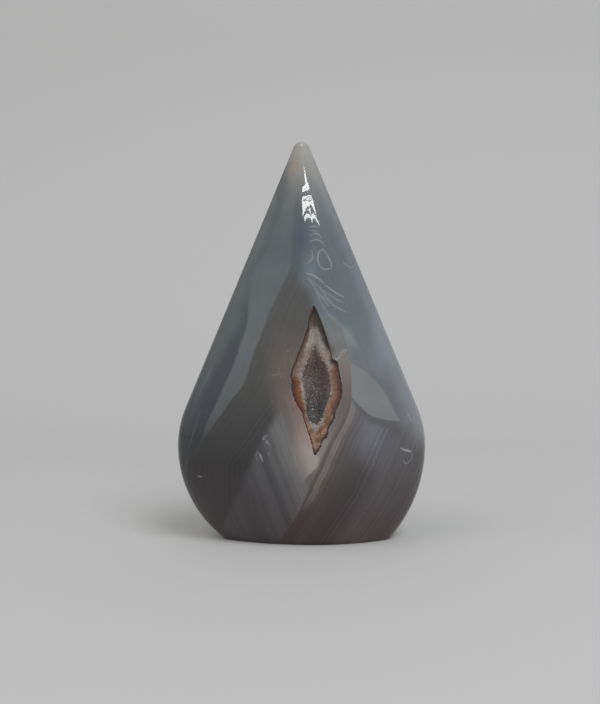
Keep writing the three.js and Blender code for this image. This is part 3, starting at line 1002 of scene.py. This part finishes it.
def make_mark_group():
    """A mark along a shallow arc, thinner at its ends: how strongly it covers a place."""
    group = bpy.data.node_groups.new("Mark", "ShaderNodeTree")
    mix = Mix(group)
    kinds = {"Place": "Vector", "Start": "Vector", "End": "Vector", "Bow": "Float", "Half": "Float"}
    for name, kind in kinds.items():
        group.interface.new_socket(name, in_out="INPUT", socket_type="NodeSocket" + kind)
    group.interface.new_socket("Cover", in_out="OUTPUT", socket_type="NodeSocketFloat")
    given = group.nodes.new("NodeGroupInput").outputs
    place, start, end, bow, half_width = (given[name] for name in kinds)
    away = mix.vector("SUBTRACT", place, start)
    line = mix.vector("SUBTRACT", end, start)
    length = mix.vector("LENGTH", line)
    along = mix.math("DIVIDE", mix.vector("DOT_PRODUCT", away, line), length)
    nearest = mix.math("MINIMUM", mix.math("MAXIMUM", along, 0), length)
    past_end = mix.minus(along, nearest)
    share = mix.math("DIVIDE", mix.minus(along, past_end), length)
    rise = mix.times(share, mix.minus(1, share), 4)
    left = mix.vector("CROSS_PRODUCT", (0, 0, 1), line)
    beside = mix.math("DIVIDE", mix.vector("DOT_PRODUCT", away, left), length)
    off = mix.minus(beside, mix.times(rise, bow))
    square = mix.linear(off, off, mix.times(past_end, past_end))
    width = mix.times(half_width, mix.linear(rise, 0.45, 0.55))
    cover = group.nodes.new("NodeGroupOutput").inputs["Cover"]
    mix.feed(cover, mix.fade(mix.math("SQRT", square), width, 0))
    return group


def new_material(name, roughness, ior):
    material = bpy.data.materials.new(name)
    material.use_nodes = True
    shader = material.node_tree.nodes["Principled BSDF"]
    shader.inputs["Roughness"].default_value = roughness
    shader.inputs["IOR"].default_value = ior
    return material, Mix(material.node_tree), shader


def millimetres(mix):
    """The place in the stone, in millimetres."""
    return mix.scaled(mix.step("TexCoord", output=3), 1 / MM)


def paint_blade_reflections(mix):
    """The outer flank on the left, two blades of painted reflection that rise along it, and the
    dark heart.
    """
    from_dark_reflection = mix.beside(DARK_REFLECTION_EDGE)
    from_light_reflection = mix.beside(LIGHT_REFLECTION_EDGE)
    from_heart = mix.beside(HEART_EDGE)
    dark = mix.shades(mix.up, DARK_BLADE_REFLECTION)
    colour = mix.paint(mix.shades(mix.up, OUTER_FLANK), dark, mix.fade(from_dark_reflection, -1.2, 1.6))
    in_light_reflection = mix.past_edge(from_light_reflection, mix.levels(62, 96, 0.5, 3.5))
    colour = mix.paint(colour, mix.shades(mix.up, LIGHT_BLADE_REFLECTION), in_light_reflection)
    colour = mix.streaks(colour, from_light_reflection, 2.6, 0.08)
    heart = mix.streaks(mix.shades(mix.up, HEART), from_heart, 0.9, 0.16)
    in_heart = mix.past_edge(from_heart, mix.levels(100, 108, 0.3, 2.2))
    return mix.paint(colour, heart, in_heart)


def paint_fan(mix, colour):
    """The fan of leaning stripes, low on the left."""
    field = mix.linear(mix.up, 0.35, mix.across)
    fan = mix.streaks(mix.shades(field, FAN_STRIPES), field, 0.8, 0.18)
    fan = mix.tint(fan, mix.shades(mix.up, FAN_FOOT_SHADE_TINT))
    in_fan = mix.fade(mix.beside(MITRE), -1.6, 1.6)
    return mix.paint(colour, fan, mix.times(in_fan, mix.levels(45, 34)))


def paint_wedge_and_stain(mix, colour):
    """The pale wedge below the cavity, and the iron stain along the cavity's left edge."""
    foot = mix.linear(mix.across, 1.1, 19.4)
    over_foot = mix.fade(mix.minus(mix.up, foot), -0.6, 0.8)
    in_wedge = mix.fade(mix.beside(WEDGE_EDGE), -2, 4.5)
    in_wedge = mix.times(in_wedge, over_foot, mix.levels(42, 30), mix.front)
    colour = mix.paint(colour, PALE_WEDGE, in_wedge)
    spread = mix.fade(mix.beside(STAINED_EDGE), -6, 0.3)
    blotches = mix.noise(mix.step("CombineXYZ", (mix.across, mix.up, 0)), 1.6)
    stain = mix.times(mix.within(mix.up, (27, 33), (50, 40)), mix.fade(blotches, 0.2, 0.6))
    stain = mix.times(stain, spread, spread, mix.front, 0.6)
    return mix.paint(colour, IRON_STAIN, stain)


def paint_left(mix):
    """Left of the middle: painted reflection blades, the heart, a warm halo, the fan, the wedge."""
    colour = paint_blade_reflections(mix)
    from_halo = mix.beside(HALO_EDGE)
    in_halo = mix.within(mix.up, (33, 38), (68, 52))
    in_halo = mix.times(mix.fade(from_halo, -4, 3.5), in_halo, mix.front)
    colour = mix.paint(colour, mix.streaks(HALO, from_halo, 0.8, 0.1), in_halo)
    colour = paint_fan(mix, colour)
    colour = paint_wedge_and_stain(mix, colour)
    return mix.veiled(colour, VIOLET_IN_HEART)


def paint_patch_reflection(mix, colour):
    """A painted reflection on the right flank: a pale patch, and the shade below it."""
    over_foot = mix.over(PATCH_FOOT)
    in_patch_reflection = mix.times(mix.fade(mix.beside(PATCH_SIDE), 0.7, -0.3), mix.levels(55, 52.5))
    in_patch_reflection = mix.times(in_patch_reflection, mix.fade(over_foot, -0.2, 0.3), mix.front)
    colour = mix.paint(colour, PALE_PATCH_REFLECTION, in_patch_reflection)
    in_shade = mix.within(mix.across, (14, 16), (30, 27))
    in_shade = mix.times(mix.fade(over_foot, 0.2, -0.5), in_shade)
    return mix.paint(colour, PATCH_SHADE, in_shade)


def paint_low_bands(mix, from_line):
    """The low bands on the right. They run beside the pale line, down to the foot."""
    # Painted shade near the foot
    foot_shade = mix.times(mix.levels(16, 10), mix.fade(from_line, 6, 3))
    low = mix.paint(mix.shades(from_line, LOW_RIGHT), LOW_FOOT_SHADE, foot_shade)
    # A lilac haze of painted reflection
    low = mix.veiled(low, LILAC_SHEEN_ON_FOOT)
    low = mix.streaks(low, from_line, 0.9, 0.2)
    return mix.tint(low, mix.shades(mix.up, LOW_FOOT_SHADE_TINT))


def paint_light_on_right_edge(mix, colour):
    """The paler right edge: painted light, where light gets into the stone."""
    from_outline = mix.minus(mix.curve(mix.up, RIGHT_OUTLINE), mix.across)
    painted_light = mix.fade(from_outline, mix.curve(mix.up, PAINTED_LIGHT_REACH), -0.5)
    painted_light = mix.times(painted_light, mix.levels(25, 34), mix.levels(60, 84, 0.65, 0.4), mix.front)
    return mix.paint(colour, PAINTED_EDGE_LIGHT, painted_light)


def paint_beside_cavity(mix, low, from_line):
    """Between the cavity and the pale line: a lighter band, and the wedge's right side."""
    beside = mix.streaks(mix.shades(mix.up, BESIDE_RIGHT), from_line, 0.9, 0.1)
    beside = mix.paint(beside, low, mix.levels(43, 36))
    reach = mix.curve(mix.up, WEDGE_REACH)
    in_wedge = mix.times(mix.fade(from_line, -0.9, -2.3), reach, mix.front)
    return mix.paint(beside, PALE_WEDGE, in_wedge)


def paint_right(mix):
    """Right of the middle: the flank, the low bands and the cavity's right side."""
    lean = mix.linear(mix.up, 0.43, mix.across)
    flank = mix.streaks(mix.shades(mix.up, RIGHT_FLANK), lean, 2.4, 0.05)
    # The flank's lilac veil is a painted reflection
    for veil in (LILAC_SHEEN_ON_FLANK, GREEN_ON_FLANK):
        flank = mix.veiled(flank, veil)
    flank = paint_patch_reflection(mix, flank)
    from_line = mix.beside(PALE_LINE)
    low = paint_low_bands(mix, from_line)
    flank = mix.paint(flank, low, mix.fade(mix.over(SHADE_FOOT), 0.7, -0.7))
    flank = paint_light_on_right_edge(mix, flank)
    beside = paint_beside_cavity(mix, low, from_line)
    in_beside = mix.times(mix.fade(from_line, 0.3, -0.3), mix.levels(69, 66))
    colour = mix.paint(flank, beside, in_beside)
    # A painted shadow beside the cavity's upper right edge
    in_shade = mix.within(mix.up, (54.5, 57.5), (70, 66))
    beside_cavity = mix.fade(mix.beside(SHADED_EDGE), 2.2, 0.7)
    in_shade = mix.times(beside_cavity, in_shade, mix.front, 0.7)
    return mix.paint(colour, EDGE_SHADE, in_shade)


def cover_with_marks(mix):
    """All of the front's fine lines and scuffs, as one mask: painted reflection lines, and wear."""
    group = make_mark_group()
    place = mix.step("CombineXYZ", (mix.across, mix.up, 0))
    cover = None
    for half_width, strength, start, end, bow in MARKS:
        values = (place, (*start, 0), (*end, 0), bow, half_width * MARK_SPREAD)
        mark = mix.step("Group", values, node_tree=group)
        mark = mix.times(mark, strength * MARK_STRENGTH)
        cover = mix.math("MAXIMUM", cover, mark) if cover else mark
    return mix.times(cover, mix.front)


def polish_waves(mix):
    """Slight waves on the upper ridge, which break up the lamp's reflection."""
    place = millimetres(mix)
    across, _, up = mix.split(place)
    near_ridge = mix.blob(across, up, WAVES_MIDDLE, WAVES_REACH)
    height = mix.times(mix.uneven(place, WAVES_APART, 0), near_ridge)
    return mix.step("Bump", {"Strength": 1, "Distance": WAVES_HEIGHT, "Height": height})


def set_agate_place(mix):
    """Sets the place of the bands: a little uneven, and leaning behind the middle."""
    place = millimetres(mix)
    shift = mix.vector("SUBTRACT", mix.noise(place, 7, 3, 1), (0.5, 0.5, 0.5))
    place = mix.vector("ADD", place, mix.scaled(shift, 0.9))
    across, deep, up = mix.split(place)
    mix.front = mix.fade(deep, 0, -2.5)
    behind = mix.math("MAXIMUM", deep, 0)
    mix.across = mix.linear(behind, 0.4, across)
    mix.up = mix.linear(behind, -0.3, up)
    return place, deep


def make_agate():
    """Banded agate, polished: grey zones that bend round the cavity, and a pale tip."""
    material, mix, shader = new_material("Polished agate", POLISH, 1.54)
    place, deep = set_agate_place(mix)
    left = paint_left(mix)
    right = paint_right(mix)
    upper_back = mix.times(mix.fade(deep, 0, 3), mix.levels(38, 52))
    soft = mix.linear(upper_back, 6, mix.levels(60, 84, 0.35, 2.8))
    colour = mix.paint(left, right, mix.past_edge(mix.beside(MIDDLE), soft))
    colour = mix.veiled(colour, TEAL_AT_RIDGE, mix.front)
    # A painted glow of light in the tip
    colour = mix.veiled(colour, PAINTED_TIP_GLOW)
    colour = mix.shaded(colour, mix.mapped(mix.noise(place, 6), 0.3, 0.7, 0.94, 1.06))
    cover = cover_with_marks(mix)
    # Scuffs, and lines of painted reflection below the ridge, in one pale colour
    mix.feed(shader.inputs["Base Color"], mix.paint(colour, SCRATCH_AND_REFLECTION_LINE, cover))
    mix.feed(shader.inputs["Roughness"], mix.mapped(cover, 0, 1, POLISH, WORN))
    mix.feed(shader.inputs["Normal"], polish_waves(mix))
    return material


def paint_crust_bands(mix, inward, level):
    """Rusty bands below and tan ones above, a pale upper wall and a grey top of painted shade."""
    on_right = mix.fade(mix.across, 3.4, 4.6)
    low, high = (
        mix.paint(mix.shades(inward, left), mix.shades(inward, right), on_right)
        for left, right in ((BANDS_LEFT, BANDS_RIGHT), (BANDS_UPPER_LEFT, BANDS_UPPER_RIGHT))
    )
    turn = mix.linear(on_right, 4.8, 49.6)
    lowered = mix.times(inward, mix.times(on_right, -3.6))
    above = mix.minus(level, mix.math("ADD", turn, lowered))
    colour = mix.paint(low, high, mix.fade(above, -0.5, 0.5))
    pale = mix.times(mix.fade(inward, 0.3, 0.55), mix.fade(level, 56, 58.5))
    colour = mix.paint(colour, CRUST_PALE, pale)
    # The recess's top, darkened as painted shade
    return mix.paint(colour, CRUST_TOP_SHADE, mix.fade(level, 63, 65.2))


def paint_crust_foot(mix, colour, place, inward, level):
    """The crust's foot: patches of tan and rust, with the rusty bands at its edge."""
    patches = mix.fade(mix.noise(place, 1.6), 0.4, 0.62)
    foot = mix.paint(CRUST_TAN, CRUST_RUST, patches)
    foot = mix.paint(foot, mix.shades(inward, BANDS_RIGHT), mix.fade(inward, 0.22, 0.05))
    return mix.paint(colour, foot, mix.fade(level, 41, 36.5))


def make_crust_rock():
    """The crust's rim: bands along the cavity's edge, dark with painted shade and brown stain, and
    white beads at the brink.
    """
    material, mix, shader = new_material("Banded crust", 0.55, 1.5)
    shader.inputs["Specular IOR Level"].default_value = 0.18
    place = millimetres(mix)
    mix.across, _, mix.up = mix.split(place)
    uneven = mix.uneven(place, 1.1, 3)
    reach = mix.step("Attribute", output=2, attribute_name="inward")
    inward = mix.linear(uneven, 0.26, reach)
    level = mix.linear(uneven, 2.2, mix.up)
    colour = mix.veiled(paint_crust_bands(mix, inward, level), NOTCH_TAN)
    colour = paint_crust_foot(mix, colour, place, inward, level)
    frayed = mix.linear(mix.uneven(place, 0.5, 2), 0.22, reach)
    # The dark edge: painted shade, and brown stain
    edge_shade_and_stain = mix.times(mix.fade(frayed, 0.1, 0.03), 0.8)
    colour = mix.paint(colour, CRUST_EDGE_SHADE_AND_STAIN, edge_shade_and_stain)
    beads = mix.times(mix.fade(inward, 0.66, 0.8), mix.fade(level, 39.6, 37.4))
    colour = mix.paint(colour, CRUST_WHITE, beads)
    grain = mix.noise(place, 0.6, 3)
    colour = mix.shaded(colour, mix.mapped(grain, 0.3, 0.7, 0.74, 1.26))
    bump = {"Strength": 1, "Distance": 0.08 * MM, "Height": grain}
    mix.feed(shader.inputs["Base Color"], colour)
    mix.feed(shader.inputs["Normal"], mix.step("Bump", bump))
    return material


def make_quartz():
    """Small quartz points, partly see-through, each with a shade of its own, a few with a painted
    glint.
    """
    material, mix, shader = new_material("Druse quartz", 0.16, 1.54)
    shader.inputs["Transmission Weight"].default_value = 0.2
    _, _, up = mix.split(millimetres(mix))
    tint = mix.step("Attribute", output=2, attribute_name="crystal_tint")
    shade = mix.linear(tint, 0.35, 0.82)
    # Crystals darker low down, as painted shade
    mix.feed(shader.inputs["Base Color"], mix.shaded(mix.shades(up, DRUSE_WITH_PAINTED_SHADE), shade))
    return material


def plain(name, colour, roughness):
    material, _, shader = new_material(name, roughness, 1.5)
    shader.inputs["Base Color"].default_value = rgba(colour)
    return material


stone = make_stone()
stone.data.materials.append(make_agate())
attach(stone, "root")
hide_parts("agate_stone")

crust = make_crust()
crust.data.materials.append(make_crust_rock())
crust.data.materials.append(make_quartz())
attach(crust, "root")
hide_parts("quartz_crust")

add_camera()
add_lights()
add_world()
add_stage()
